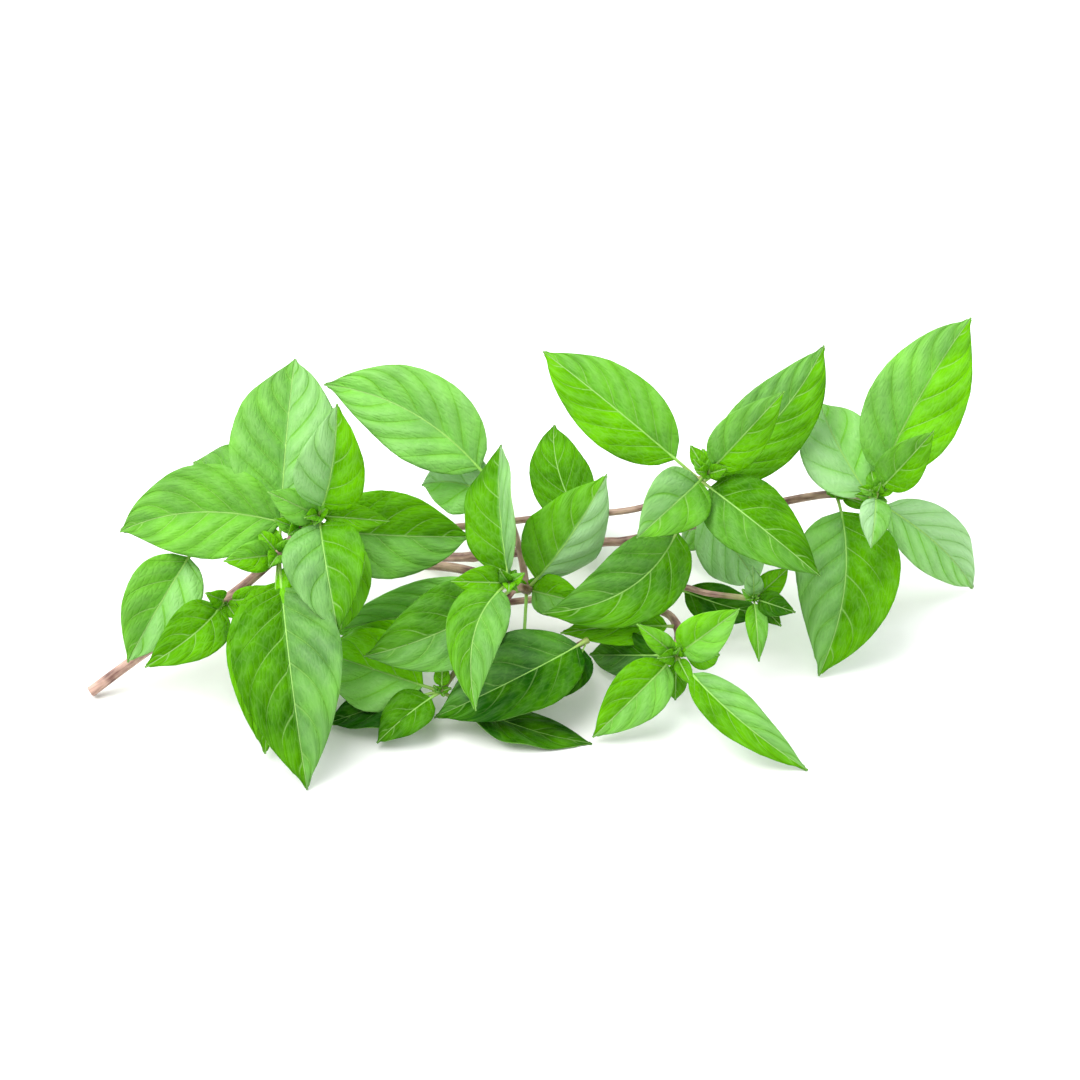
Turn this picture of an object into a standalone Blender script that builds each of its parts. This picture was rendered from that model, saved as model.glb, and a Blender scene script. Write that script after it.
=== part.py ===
# A bunch of cut sweet basil that lies on a table: leafy stems, each of them one solid.
#
# Lengths are millimetres and angles degrees, and the meshes are written in metres.
# +X runs along the bunch from its cut ends to its tips, -Y is its open front, +Z is up.

import math

import bpy
import numpy as np

mm = 0.001

bladeThick = 0.75        # a real blade is thinner, and this is what a solid can hold
petioleRadius = 0.75
petioleSides = 4
stemSides = 8
stemStep = 7.0           # length of a facet along a stem
belowWidest = 0.66       # how full the blade is towards its base, and towards its point
aboveWidest = 1.06
light = np.array((0.0, -0.8, 0.6))   # the leaves turn their upper sides to it
narrowest = 0.35         # half the width that a blade keeps at its foot and at its point
waveShare = 0.035        # height of the edge's waves, as a share of the blade's width
waveCount = 2.3
smallBlade = 23.0        # a blade shorter than this has fewer faces
slimStalk = 0.75         # how much of its thickness a small blade's stalk has
bladeFoot = 0.12         # share of the blade that its stalk runs in under
longRows = (0.0, bladeFoot, 0.32, 0.55, 0.75, 0.90, 1.0)
shortRows = (0.0, 0.22, 0.52, 0.80, 1.0)
longColumns = (-1.0, -0.5, 0.0, 0.5, 1.0)
shortColumns = (-1.0, 0.0, 1.0)
tableTop = 0.0
bunchCentre = np.array((2.7, 7.1, 0.0))   # taken off every point, so the origin is under the middle

# Each stem is a route of (x, y, z, radius) points. Each leaf has these values:
# (point of the route it grows from, heading in plan, rise, petiole, whole length, width,
#  roll about its midrib, fold of its halves, bow of its midrib, sweep of it to one side)
sprigs = {
    "left_sprig": {
        "stem": [(-132, -20, 1.7, 1.7), (-113, -12, 13, 1.65), (-91, -11, 29, 1.55),
                 (-75, -3, 40, 1.4), (-69, 2, 46, 1.2), (-63, 1, 51, 0.8)],
        "shoots": {"low": [(-75, -3, 40, 0.9), (-88, 3, 41, 0.8), (-101, 4, 37, 0.7)]},
        "leaves": [
            (3, 87, 35, 11, 63, 34, 0, 16, 0.10, 0),
            (3, -80, -33, 12, 73, 33, 0, 16, 0.10, 0),
            (3, -93, -39, 9, 60, 26, 0, 10, 0.06, 0),
            (4, 169, -9, 5, 57, 29, 0, 14, 0.10, 0.09),
            (4, 11, -11, 6, 52, 27, 0, 14, 0.10, 0.02),
            (5, 20, 79, 4, 38, 22, 0, 18, 0.10, 0.05),
            (5, -78, -29, 3, 38, 25, 0, 16, 0.10, 0),
            (3, -60, -20, 5, 35, 13, 0, 12, 0.06, 0),
            (4, -55, -49, 5, 33, 24, 0, 10, 0.06, -0.12),
            ("low", -130, -40, 3, 39, 23, 0, 16, 0.10, 0),
            (2, -124, -3, 4, 36, 17, 0, 12, 0.10, -0.06),
            (2, -119, 43, 2, 12, 6, 0, 14, 0.10, 0),
            (2, -55, -19, 1, 8, 5, 0, 14, 0.10, 0),
            (2, -1, 20, 2, 17, 7, 0, 14, 0.10, 0.08),
            (3, -145, 15, 3, 19, 10, 0, 14, 0.10, 0),
            (3, 126, 7, 6, 50, 29, 0, 14, 0.10, 0.06),
            (5, -168, 36, 1, 18, 11, 0, 14, 0.10, 0),
            (5, -5, -2, 2, 21, 9, 0, 14, 0.10, 0),
        ],
    },
    "middle_sprig": {
        "stem": [(-37, 24, 17, 1.5), (-24, 18, 20, 1.5), (-12, 10, 22, 1.5), (-2, 4, 22, 1.4),
                 (-5, -5, 30, 1.2), (-7, -12, 36, 0.8)],
        "shoots": {
            "top": [(-2, 4, 22, 1.1), (-4, 11, 31, 1.0), (-8, 17, 44, 0.8)],
            "front": [(-5, -5, 30, 1.0), (-19, -22, 18, 0.9), (-27, -29, 9, 0.8)],
            "fork": [(-5, -5, 30, 1.0), (-19, -22, 18, 0.9)],
        },
        "leaves": [
            ("top", 151, 20, 12, 68, 28, 0, 14, 0.10, 0.11),
            ("top", 151, -5, 5, 30, 20, 0, 12, 0.10, 0.10),
            (5, 94, 29, 2, 46, 23, -42, 28, 0.10, 0.05),
            (5, -102, -17, 4, 46, 18, 0, 16, 0.10, 0.13),
            (4, -156, -13, 5, 50, 26, 0, 14, 0.10, -0.06),
            (5, -158, 17, 2, 19, 10, 0, 14, 0.10, 0),
            (3, 14, 57, 5, 45, 26, 22, -20, 0.10, 0),
            (3, -25, 2, 2, 20, 13, 0, 14, 0.10, 0),
            (3, -93, -28, 18, 30, 9, 0, 14, 0.10, 0),
            ("front", 152, 0, 5, 40, 26, 0, 20, 0.14, 0),
            ("front", -171, -13, 5, 35, 19, 42, 8, 0.03, 0),
            ("front", -140, -16, 4, 25, 14, 20, 14, 0.10, 0),
            ("front", 76, 75, 2, 10, 5, 0, 14, 0.10, 0),
            ("front", -17, -11, 9, 47, 19, -58, 0, -0.05, 0),
            (3, -176, -12, 8, 62, 19, 0, 14, 0.10, 0),
            ("fork", 158, -12, 6, 46, 17, 0, 14, 0.10, 0),
        ],
    },
    "upper_sprig": {
        "stem": [(-27, 35, 23, 1.2), (-4, 35, 26, 1.1), (8, 33, 29, 1.1), (30, 31, 32.6, 1.05),
                 (47, 24, 44, 1.0), (50, 23, 49, 0.9), (52, 20, 53, 0.7)],
        "shoots": {"hang": [(47, 24, 44, 0.8), (44, 15, 38, 0.7)]},
        "leaves": [
            (5, 142, 21, 9, 64, 25, 0, 14, 0.10, 0),
            (4, 38, 31, 7, 62, 24, 0, 14, 0.10, 0.07),
            (6, 2, 53, 4, 36, 16, 0, 16, 0.10, 0),
            (5, -46, -12, 5, 50, 23, 0, 14, 0.10, 0),
            (6, -134, -14, 4, 32, 20, 0, 16, 0.10, 0),
            (4, 12, -58, 7, 44, 23, 0, 14, 0.10, 0),
            ("hang", -147, -15, 2, 51, 24, 0, 12, 0.10, -0.15),
            (6, 135, 45, 2, 10, 5, 0, 14, 0.10, 0),
            (6, -37, 35, 2, 9, 5, 0, 14, 0.10, 0),
        ],
    },
    "right_sprig": {
        "stem": [(-40, 51, 1.6, 1.6), (-19, 38, 10, 1.5), (19, 37, 16, 1.45), (31, 36, 18, 1.4),
                 (60, 37, 26, 1.35), (79, 37, 32, 1.3), (93, 34, 36.5, 1.2), (102, 22, 43, 1.0),
                 (103, 19, 47, 0.7)],
        "shoots": {},
        "leaves": [
            (7, 48, 43, 7, 63, 30, 0, 14, 0.10, -0.04),
            (7, 114, 24, 1, 37, 26, 0, 14, 0.10, -0.05),
            (8, -8, 57, 4, 28, 14, 0, 18, 0.10, 0),
            (7, 18, -48, 5, 57, 20, 0, 12, 0.08, -0.04),
            (6, -99, -38, 6, 58, 33, 0, 14, 0.10, -0.08),
            (8, -99, -33, 2, 18, 10, 0, 14, 0.10, 0),
            (6, -18, -14, 2, 12, 5, 0, 14, 0.10, 0),
            (2, 105, -14, 4, 40, 17, 0, 12, 0.10, 0),
            (1, 78, -10, 4, 38, 16, 0, 12, 0.10, 0),
            (4, 112, -38, 4, 40, 17, 0, 12, 0.10, 0),
            (4, 72, -18, 4, 38, 17, 0, 12, 0.10, 0),
            (2, 107, 23, 5, 46, 20, 0, 14, 0.10, -0.08),
        ],
    },
    "low_sprig": {
        "stem": [(-14, 14, 9, 1.1), (2, 13, 12, 1.1), (20, 14, 14, 1.05), (42, 10, 19, 1.0),
                 (53, 3, 21.2, 0.95), (66, -2, 23, 0.85)],
        "shoots": {},
        "leaves": [
            (5, -88, -26, 2, 21, 7, 0, 14, 0.10, 0),
            (5, -46, -21, 2, 12, 6, 0, 14, 0.10, 0),
            (5, -39, 7, 2, 15, 8, 0, 14, 0.10, 0),
            (5, -176, 85, 2, 12, 6, 0, 14, 0.10, 0),
            (3, 2, -22, 4, 30, 14, 20, 14, 0.10, 0),
            (5, 15, 42, 2, 14, 8, 0, 14, 0.10, 0),
        ],
    },
    "front_sprig": {
        "stem": [(13, 6, 12, 1.3), (24, 4, 14, 1.3), (38, 0, 17, 1.25), (43, -8, 17, 1.2),
                 (42, -22, 17, 0.9)],
        "shoots": {},
        "leaves": [
            (4, -141, -25, 4, 35, 17, 0, 12, 0.10, 0),
            (4, -13, 48, 3, 27, 14, 0, 14, 0.10, 0),
            (4, -41, -19, 8, 52, 14, -15, 12, 0.10, 0.07),
            (4, -175, 46, 2, 17, 7, 0, 18, 0.10, 0),
            (4, -68, -15, 2, 12, 5, 0, 14, 0.10, 0),
            (4, 27, -19, 3, 16, 9, 0, 14, 0.10, 0),
            (4, -88, -80, 2, 15, 7, 0, 14, 0.10, 0),
            (4, 142, -25, 5, 35, 14, 0, 10, 0.06, 0),
            (3, -176, -1, 3, 35, 12, 0, 14, 0.06, 0.03),
        ],
    },
    "ground_sprig": {
        "stem": [(-4, -14, 4, 1.2), (6, -13, 9, 1.1), (16, -16, 18, 0.9)],
        "shoots": {},
        "leaves": [
            (2, -156, -15, 3, 51, 27, 26, 8, 0.10, -0.06),
            (2, -125, -44, 3, 19, 11, 0, 10, 0.06, 0),
        ],
    },
}


def unit(vector):
    return vector / np.linalg.norm(vector)


def smoothRoute(points, step):
    # A Catmull-Rom curve through the route's points, read every step, with its radius.
    points = np.array(points, float)
    ends = np.vstack([2 * points[0] - points[1], points, 2 * points[-1] - points[-2]])
    read = []
    for i in range(1, len(ends) - 2):
        before, start, end, after = ends[i - 1:i + 3]
        count = max(1, round(np.linalg.norm(end[:3] - start[:3]) / step))
        for t in np.arange(count) / count:
            read.append(0.5 * (2 * start + (end - before) * t
                               + (2 * before - 5 * start + 4 * end - after) * t ** 2
                               + (3 * start - before - 3 * end + after) * t ** 3))
    read.append(points[-1])
    return np.array(read)


def tube(route, sides):
    # A closed tube round a route of (x, y, z, radius) rows.
    centres, radii = route[:, :3], route[:, 3]
    along = np.gradient(centres, axis=0)
    across = unit(np.cross(along[0], (0.3, 0.2, 1.0)))
    turns = np.arange(sides) * 2 * math.pi / sides
    points = []
    for centre, radius, way in zip(centres, radii, along):
        way = unit(way)
        across = unit(across - way * np.dot(across, way))
        other = np.cross(way, across)
        points += [centre + radius * (math.cos(a) * across + math.sin(a) * other) for a in turns]
    faces = []
    for ring in range(len(centres) - 1):
        for side in range(sides):
            a, b = ring * sides + side, ring * sides + (side + 1) % sides
            faces.append((a, b, b + sides, a + sides))
    faces.append(tuple(range(sides - 1, -1, -1)))
    faces.append(tuple(range(len(points) - sides, len(points))))
    return np.array(points), faces


def halfWidth(share):
    # Half the width of a pointed oval blade at a share of its length, as a share of its width.
    widest = belowWidest / (belowWidest + aboveWidest)
    most = widest ** belowWidest * (1 - widest) ** aboveWidest
    return 0.5 * share ** belowWidest * (1 - share) ** aboveWidest / most


def leafFrame(heading, rise, roll):
    # The leaf's direction, and its upper side, turned to the light as far as that lets it.
    h, r, turn = (math.radians(a) for a in (heading, rise, roll))
    along = np.array([math.cos(r) * math.cos(h), math.cos(r) * math.sin(h), math.sin(r)])
    upper = unit(light - along * np.dot(along, light))
    side = np.cross(along, upper)
    return along, math.cos(turn) * upper + math.sin(turn) * side


def midrib(root, along, upper, leaf, share):
    # The arched line that the petiole and the blade follow, and its direction.
    whole, bow, sweep = leaf[3], leaf[7], leaf[8]
    bend = 4 * (upper * bow + np.cross(along, upper) * sweep)
    place = root + whole * (along * share + bend * share * (1 - share))
    return place, unit(along + bend * (1 - 2 * share))


def blade(root, leaf):
    heading, rise, petiole, whole, width, roll, fold = leaf[:7]
    along, upper = leafFrame(heading, rise, roll)
    small = whole - petiole < smallBlade
    rows = shortRows if small else longRows
    columns = shortColumns if small else longColumns
    lift = math.radians(fold)
    top, bottom = [], []
    for row in rows:
        share = (petiole + row * (whole - petiole)) / whole
        centre, way = midrib(root, along, upper, leaf, share)
        side = unit(np.cross(way, upper))
        face = np.cross(side, way)
        half = max(halfWidth(row) * width, narrowest)
        for column in columns:
            wave = waveShare * width * abs(column) ** 3 * math.sin(
                2 * math.pi * waveCount * row + 1.3 * column + 0.07 * heading) * math.sin(math.pi * row)
            place = (centre + side * column * half * math.cos(lift)
                     + face * (abs(column) * half * math.sin(lift) + wave))
            top.append(place)
            bottom.append(place - face * bladeThick)
    wide, count = len(columns), len(top)
    points = np.array(top + bottom)
    points[:, 2] = np.maximum(points[:, 2], tableTop + np.where(np.arange(2 * count) < count, bladeThick, 0))
    faces = []
    for r in range(len(rows) - 1):
        for c in range(wide - 1):
            a, b = r * wide + c, r * wide + c + 1
            d, e = a + wide, b + wide
            # Both halves are split away from the midrib, alike above and below.
            cuts = ((a, b, e), (a, e, d)) if c < wide // 2 else ((a, b, d), (b, e, d))
            for cut in cuts:
                faces.append(cut)
                faces.append(tuple(count + i for i in reversed(cut)))
    edge = ([r * wide for r in range(len(rows))]
            + [(len(rows) - 1) * wide + c for c in range(1, wide)]
            + [r * wide + wide - 1 for r in range(len(rows) - 2, -1, -1)]
            + [c for c in range(wide - 2, 0, -1)])
    for a, b in zip(edge, edge[1:] + edge[:1]):
        faces.append((a, count + b, count + a))
        faces.append((a, b, count + b))
    return points, faces


def petioleRoute(root, leaf):
    # The leaf's stalk, from inside the stem to just under the foot of the blade.
    heading, rise, petiole, whole, width, roll, fold = leaf[:7]
    along, upper = leafFrame(heading, rise, roll)
    size = petioleRadius * (slimStalk if whole < smallBlade else 1.0)
    rows = []
    for share in (0.0, (petiole + bladeFoot * (whole - petiole)) / whole):
        place, way = midrib(root, along, upper, leaf, share)
        if share:
            place = place - upper * bladeThick * 0.6
            place[2] = max(place[2], tableTop + size)
        rows.append((*place, size))
    return np.array(rows)


def rootOf(sprig, place):
    if isinstance(place, str):
        return np.array(sprig["shoots"][place][-1][:3], float)
    return np.array(sprig["stem"][place][:3], float)


# Building the objects
def makeMaterial(name, colour, roughness):
    material = bpy.data.materials.new(name)
    material.use_nodes = True
    shader = material.node_tree.nodes["Principled BSDF"]
    shader.inputs["Base Color"].default_value = (*colour, 1.0)
    shader.inputs["Roughness"].default_value = roughness
    shader.inputs["Metallic"].default_value = 0.0
    return material


def makeObject(name, shape, material, collection):
    points, faces = shape
    mesh = bpy.data.meshes.new(name)
    mesh.from_pydata(((points - bunchCentre) * mm).tolist(), [], [tuple(face) for face in faces])
    mesh.materials.append(material)
    mesh.update()
    made = bpy.data.objects.new(name, mesh)
    collection.objects.link(made)
    return made


def fuse(base, others):
    # Joins everything in the collection others into base, and removes the collection.
    union = base.modifiers.new("union", "BOOLEAN")
    union.operation = "UNION"
    union.operand_type = "COLLECTION"
    union.collection = others
    union.solver = "EXACT"
    union.material_mode = "TRANSFER"
    bpy.context.view_layer.update()
    with bpy.context.temp_override(object=base, active_object=base, selected_objects=[base]):
        bpy.ops.object.modifier_apply(modifier=union.name)
    for made in list(others.objects):
        bpy.data.objects.remove(made)
    bpy.data.collections.remove(others)


def makeSprig(name, sprig, leafGreen, stemBrown):
    scene = bpy.context.scene.collection
    parts = bpy.data.collections.new(name + "_parts")
    scene.children.link(parts)
    stem = makeObject(name, tube(smoothRoute(sprig["stem"], stemStep), stemSides), stemBrown, scene)
    for shoot, route in sprig["shoots"].items():
        shape = tube(smoothRoute(route, stemStep), stemSides)
        makeObject(name + "_" + shoot, shape, stemBrown, parts)
    for number, (place, *leaf) in enumerate(sprig["leaves"]):
        root = rootOf(sprig, place)
        label = name + "_leaf_" + str(number)
        makeObject(label, blade(root, leaf), leafGreen, parts)
        makeObject(label + "_stalk", tube(petioleRoute(root, leaf), petioleSides), leafGreen, parts)
    fuse(stem, parts)
    stem.data.shade_smooth()
    stem.data.set_sharp_from_angle(angle=math.radians(40))


def main():
    for old in list(bpy.data.objects):
        bpy.data.objects.remove(old)
    leafGreen = makeMaterial("basil_leaf", (0.17, 0.45, 0.035), 0.42)
    stemBrown = makeMaterial("basil_stem", (0.42, 0.20, 0.16), 0.50)
    for name, sprig in sprigs.items():
        makeSprig(name, sprig, leafGreen, stemBrown)


main()
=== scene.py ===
# Cut sweet basil, lying on a white table: the leaves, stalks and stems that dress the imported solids.
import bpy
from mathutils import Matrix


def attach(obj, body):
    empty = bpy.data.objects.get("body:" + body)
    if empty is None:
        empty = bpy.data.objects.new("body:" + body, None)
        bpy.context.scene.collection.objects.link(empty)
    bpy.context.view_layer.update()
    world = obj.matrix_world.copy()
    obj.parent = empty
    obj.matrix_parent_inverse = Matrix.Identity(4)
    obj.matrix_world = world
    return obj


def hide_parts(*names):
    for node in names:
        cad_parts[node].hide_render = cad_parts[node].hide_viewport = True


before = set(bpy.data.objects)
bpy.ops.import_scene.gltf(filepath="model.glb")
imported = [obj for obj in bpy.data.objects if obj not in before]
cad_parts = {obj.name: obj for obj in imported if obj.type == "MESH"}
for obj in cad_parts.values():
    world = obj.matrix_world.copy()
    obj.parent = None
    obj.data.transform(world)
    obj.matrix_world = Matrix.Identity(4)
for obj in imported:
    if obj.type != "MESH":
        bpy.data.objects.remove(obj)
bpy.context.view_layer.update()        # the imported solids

import math
import random
import bpy
import numpy as np
from mathutils import Vector

mm = 0.001
chance = random.Random(7)

# Each stem is a route of (x, y, z, radius) points in millimetres, as in the part's own source.
# Each leaf: (point of the route it grows from, heading in plan, rise, stalk, whole length, width,
# roll about its midrib, fold of its halves, bow of its midrib, sweep of it to one side), and then
# its looks: (tone from 0 deep to 1 fresh green, partly the blade's age and partly painted shade and light,
# low on blades that lie in shade and high on some in shadow that should look lit; painted sheen on its
# right half, painted sheen on its left half).
# Tufts of unopened leaves sit at some points: {point of the route: their length}.
sprigs = {
    "left_sprig": {
        "stem": [(-132, -20, 1.7, 1.7), (-113, -12, 13, 1.65), (-91, -11, 29, 1.55),
                 (-75, -3, 40, 1.4), (-69, 2, 46, 1.2), (-63, 1, 51, 0.8)],
        "shoots": {"low": [(-75, -3, 40, 0.9), (-88, 3, 41, 0.8), (-101, 4, 37, 0.7)]},
        "tufts": {2: 4, 3: 11, 4: 11, 5: 9},
        "leaves": [
            (3, 87, 35, 11, 63, 34, 0, 16, 0.10, 0, 0.62, 0.45, 0.22),
            (3, -80, -33, 12, 73, 33, 0, 16, 0.10, 0, 0.36, 0, 0.22),
            (3, -93, -39, 9, 60, 26, 0, 10, 0.06, 0, 0.62, 0, 0),
            (4, 169, -9, 5, 57, 29, 0, 14, 0.10, 0.09, 0.66, 0.16, 0.14),
            (4, 11, -11, 6, 52, 27, 0, 14, 0.10, 0.02, 0.6, 0.2, 0),
            (5, 20, 79, 4, 38, 22, 0, 18, 0.10, 0.05, 0.72, 0, 0.6),
            (5, -78, -29, 3, 38, 25, 0, 16, 0.10, 0, 0.46, 0.34, 0.03),
            (3, -60, -20, 5, 35, 13, 0, 12, 0.06, 0, 0.85, 0, 0),
            (4, -55, -49, 5, 33, 24, 0, 10, 0.06, -0.12, 0.85, 0.05, 0.05),
            ("low", -130, -40, 3, 39, 23, 0, 16, 0.10, 0, 0.7, 0.13, 0.4),
            (2, -124, -3, 4, 36, 17, 0, 12, 0.10, -0.06, 0.56, 0, 0),
            (2, -119, 43, 2, 12, 6, 0, 14, 0.10, 0, 0.8, 0, 0),
            (2, -55, -19, 1, 8, 5, 0, 14, 0.10, 0, 0.7, 0, 0),
            (2, -1, 20, 2, 17, 7, 0, 14, 0.10, 0.08, 0.8, 0, 0),
            (3, -145, 15, 3, 19, 10, 0, 14, 0.10, 0, 0.74, 0.12, 0),
            (3, 126, 7, 6, 50, 29, 0, 14, 0.10, 0.06, 0.5, 0.15, 0.15),
            (5, -168, 36, 1, 18, 11, 0, 14, 0.10, 0, 0.8, 0.2, 0.2),
            (5, -5, -2, 2, 21, 9, 0, 14, 0.10, 0, 0.6, 0, 0),
        ],
    },
    "middle_sprig": {
        "stem": [(-37, 24, 17, 1.5), (-24, 18, 20, 1.5), (-12, 10, 22, 1.5), (-2, 4, 22, 1.4),
                 (-5, -5, 30, 1.2), (-7, -12, 36, 0.8)],
        "shoots": {
            "top": [(-2, 4, 22, 1.1), (-4, 11, 31, 1.0), (-8, 17, 44, 0.8)],
            "front": [(-5, -5, 30, 1.0), (-19, -22, 18, 0.9), (-27, -29, 9, 0.8)],
            "fork": [(-5, -5, 30, 1.0), (-19, -22, 18, 0.9)],
        },
        "tufts": {3: 5, 5: 7, "front": 4},
        "leaves": [
            ("top", 151, 20, 12, 68, 28, 0, 14, 0.10, 0.11, 0.72, 0.3, 0.3),
            ("top", 151, -5, 5, 30, 20, 0, 12, 0.10, 0.10, 1, 0.9, 0.35),
            (5, 94, 29, 2, 46, 23, -42, 28, 0.10, 0.05, 0.42, 0.5, 0),
            (5, -102, -17, 4, 46, 18, 0, 16, 0.10, 0.13, 0.48, 0.05, 0.2),
            (4, -156, -13, 5, 50, 26, 0, 14, 0.10, -0.06, 0.42, 0.05, 0.2),
            (5, -158, 17, 2, 19, 10, 0, 14, 0.10, 0, 0.55, 0, 0),
            (3, 14, 57, 5, 45, 26, 22, -20, 0.10, 0, 0.66, 0.8, 0.05),
            (3, -25, 2, 2, 20, 13, 0, 14, 0.10, 0, 0.8, 0.3, 0),
            (3, -93, -28, 18, 30, 9, 0, 14, 0.10, 0, 0.2, 0, 0),
            ("front", 152, 0, 5, 40, 26, 0, 20, 0.14, 0, 1, 0, 0.32),
            ("front", -171, -13, 5, 35, 19, 42, 8, 0.03, 0, 0.1, 0, 0),
            ("front", -140, -16, 4, 25, 14, 20, 14, 0.10, 0, 0.27, 0, 0),
            ("front", 76, 75, 2, 10, 5, 0, 14, 0.10, 0, 0.7, 0, 0),
            ("front", -17, -11, 9, 47, 19, -58, 0, -0.05, 0, 0.14, 0, 0),
            (3, -176, -12, 8, 62, 19, 0, 14, 0.10, 0, 1, 0.3, 0.2),
            ("fork", 158, -12, 6, 46, 17, 0, 14, 0.10, 0, 1, 0, 0),
        ],
    },
    "upper_sprig": {
        "stem": [(-27, 35, 23, 1.2), (-4, 35, 26, 1.1), (8, 33, 29, 1.1), (30, 31, 32.6, 1.05),
                 (47, 24, 44, 1.0), (50, 23, 49, 0.9), (52, 20, 53, 0.7)],
        "shoots": {"hang": [(47, 24, 44, 0.8), (44, 15, 38, 0.7)]},
        "tufts": {4: 5, 6: 8},
        "leaves": [
            (5, 142, 21, 9, 64, 25, 0, 14, 0.10, 0, 0.68, 0.12, 0),
            (4, 38, 31, 7, 62, 24, 0, 14, 0.10, 0.07, 0.5, 0, 0.22),
            (6, 2, 53, 4, 36, 16, 0, 16, 0.10, 0, 0.64, 0, 0.2),
            (5, -46, -12, 5, 50, 23, 0, 14, 0.10, 0, 0.35, 0.1, 0),
            (6, -134, -14, 4, 32, 20, 0, 16, 0.10, 0, 0.54, 0.42, 0.08),
            (4, 12, -58, 7, 44, 23, 0, 14, 0.10, 0, 1, 0.7, 0.6),
            ("hang", -147, -15, 2, 51, 24, 0, 12, 0.10, -0.15, 0.38, 0.1, 0.02),
            (6, 135, 45, 2, 10, 5, 0, 14, 0.10, 0, 0.6, 0, 0),
            (6, -37, 35, 2, 9, 5, 0, 14, 0.10, 0, 0.6, 0, 0),
        ],
    },
    "right_sprig": {
        "stem": [(-40, 51, 1.6, 1.6), (-19, 38, 10, 1.5), (19, 37, 16, 1.45), (31, 36, 18, 1.4),
                 (60, 37, 26, 1.35), (79, 37, 32, 1.3), (93, 34, 36.5, 1.2), (102, 22, 43, 1.0),
                 (103, 19, 47, 0.7)],
        "shoots": {},
        "tufts": {6: 5, 7: 7, 8: 8},
        "leaves": [
            (7, 48, 43, 7, 63, 30, 0, 14, 0.10, -0.04, 0.76, 0.02, 0.24),
            (7, 114, 24, 1, 37, 26, 0, 14, 0.10, -0.05, 1, 0.42, 0.75),
            (8, -8, 57, 4, 28, 14, 0, 18, 0.10, 0, 0.58, 0, 0.1),
            (7, 18, -48, 5, 57, 20, 0, 12, 0.08, -0.04, 0.82, 0.47, 0.8),
            (6, -99, -38, 6, 58, 33, 0, 14, 0.10, -0.08, 0.5, 0.28, 0),
            (8, -99, -33, 2, 18, 10, 0, 14, 0.10, 0, 0.55, 1, 0.25),
            (6, -18, -14, 2, 12, 5, 0, 14, 0.10, 0, 0.6, 0, 0),
            (2, 105, -14, 4, 40, 17, 0, 12, 0.10, 0, 0.4, 0.1, 0.1),
            (1, 78, -10, 4, 38, 16, 0, 12, 0.10, 0, 0.45, 0.1, 0.1),
            (4, 112, -38, 4, 40, 17, 0, 12, 0.10, 0, 0.4, 0.1, 0.1),
            (4, 72, -18, 4, 38, 17, 0, 12, 0.10, 0, 0.4, 0.1, 0.1),
            (2, 107, 23, 5, 46, 20, 0, 14, 0.10, -0.08, 0.42, 0, 0),
        ],
    },
    "low_sprig": {
        "stem": [(-14, 14, 9, 1.1), (2, 13, 12, 1.1), (20, 14, 14, 1.05), (42, 10, 19, 1.0),
                 (53, 3, 21.2, 0.95), (66, -2, 23, 0.85)],
        "shoots": {},
        "tufts": {5: 5},
        "leaves": [
            (5, -88, -26, 2, 21, 7, 0, 14, 0.10, 0, 0.6, 0.05, 0.15),
            (5, -46, -21, 2, 12, 6, 0, 14, 0.10, 0, 0.3, 0, 0),
            (5, -39, 7, 2, 15, 8, 0, 14, 0.10, 0, 0.25, 0, 0),
            (5, -176, 85, 2, 12, 6, 0, 14, 0.10, 0, 0.5, 0.5, 0.5),
            (3, 2, -22, 4, 30, 14, 20, 14, 0.10, 0, 0.1, 0, 0),
            (5, 15, 42, 2, 14, 8, 0, 14, 0.10, 0, 0.8, 0, 0),
        ],
    },
    "front_sprig": {
        "stem": [(13, 6, 12, 1.3), (24, 4, 14, 1.3), (38, 0, 17, 1.25), (43, -8, 17, 1.2),
                 (42, -22, 17, 0.9)],
        "shoots": {},
        "tufts": {4: 9},
        "leaves": [
            (4, -141, -25, 4, 35, 17, 0, 12, 0.10, 0, 0.7, 0, 0.2),
            (4, -13, 48, 3, 27, 14, 0, 14, 0.10, 0, 0.8, 0.2, 0.05),
            (4, -41, -19, 8, 52, 14, -15, 12, 0.10, 0.07, 0.55, 0, 0.3),
            (4, -175, 46, 2, 17, 7, 0, 18, 0.10, 0, 0.85, 0.1, 0.05),
            (4, -68, -15, 2, 12, 5, 0, 14, 0.10, 0, 0.7, 0, 0),
            (4, 27, -19, 3, 16, 9, 0, 14, 0.10, 0, 0.75, 0, 0),
            (4, -88, -80, 2, 15, 7, 0, 14, 0.10, 0, 0.5, 0, 0),
            (4, 142, -25, 5, 35, 14, 0, 10, 0.06, 0, 0.1, 0, 0.1),
            (3, -176, -1, 3, 35, 12, 0, 14, 0.06, 0.03, 0.75, 0, 0),
        ],
    },
    "ground_sprig": {
        "stem": [(-4, -14, 4, 1.2), (6, -13, 9, 1.1), (16, -16, 18, 0.9)],
        "shoots": {},
        "tufts": {},
        "leaves": [
            (2, -156, -15, 3, 51, 27, 26, 8, 0.10, -0.06, 0.12, 0.09, 0),
            (2, -125, -44, 3, 19, 11, 0, 10, 0.06, 0, 0, 0, 0),
        ],
    },
}

bunch = {
    "centre": (2.7, 7.1, 0.0),      # taken off every point, as in the part
    "light": (0.0, -0.8, 0.6),      # the leaves turn their upper sides to it
    "tableTop": 0.0,
}


def unit(vector):
    return vector / np.linalg.norm(vector, axis=-1, keepdims=True)


def deselectAll():
    bpy.ops.object.select_all(action="DESELECT")


def activate(thing):
    deselectAll()
    thing.select_set(True)
    bpy.context.view_layer.objects.active = thing


# ---- colour and materials

def colour(code):
    # An sRGB hex code as the linear colour that shaders take.
    channels = [int(code[i:i + 2], 16) / 255 for i in (1, 3, 5)]
    return [c / 12.92 if c <= 0.04045 else ((c + 0.055) / 1.055) ** 2.4 for c in channels] + [1.0]


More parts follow.
